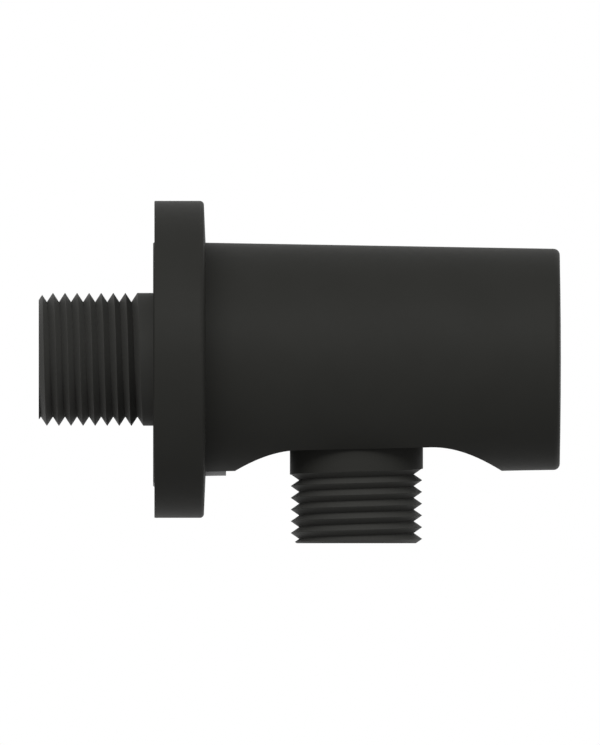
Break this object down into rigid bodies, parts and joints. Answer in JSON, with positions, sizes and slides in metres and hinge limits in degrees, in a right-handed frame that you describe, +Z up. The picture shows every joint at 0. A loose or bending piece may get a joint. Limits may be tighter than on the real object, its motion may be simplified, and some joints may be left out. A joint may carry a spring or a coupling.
{
  "type": "wall outlet elbow",
  "caption": "Shower wall outlet elbow with threaded inlet, downward hose thread, non-return valve, and a conical sliding cover with round rosette.",
  "frame": {"origin": "on the inlet's axis at the wall plane, which is the cover's rear face", "axes": "+X out of the wall along the inlet's axis, +Z up, so the hose outlet points down along -Z"},
  "size_m": [0.0823, 0.05, 0.054],
  "materials": {
    "black_brass": "matte",
    "black_coat": "matte",
    "bush_plastic": "matte",
    "ring_rubber": "matte",
    "valve_plastic": "satin",
    "poppet_plastic": "satin",
    "spring_steel": "satin"
  },
  "bodies": {
    "elbow": {"elbow_barrel": "black_brass", "outlet_nipple": "black_brass", "nipple_seal": "ring_rubber", "valve_housing": "valve_plastic", "valve_o_ring": "ring_rubber", "valve_guide": "valve_plastic", "valve_spring": "spring_steel"},
    "cover": {"cover": "black_coat", "rear_bush": "bush_plastic", "bush_o_ring": "ring_rubber", "rosette": "black_coat", "rosette_o_ring": "ring_rubber"},
    "poppet": {"valve_poppet": "poppet_plastic", "valve_seal": "ring_rubber"}
  },
  "joints": [
    {"name": "cover_slide", "type": "slide", "parent": "elbow", "child": "cover", "axis": [1, 0, 0], "range_m": [-0.0119, 0.0094]},
    {"name": "poppet_lift", "type": "slide", "parent": "elbow", "child": "poppet", "axis": [0, 0, -1], "range_m": [0, 0.0024], "stiffness_N_per_m": 100, "springref_m": -0.005, "deforming": ["valve_spring"]}
  ]
}
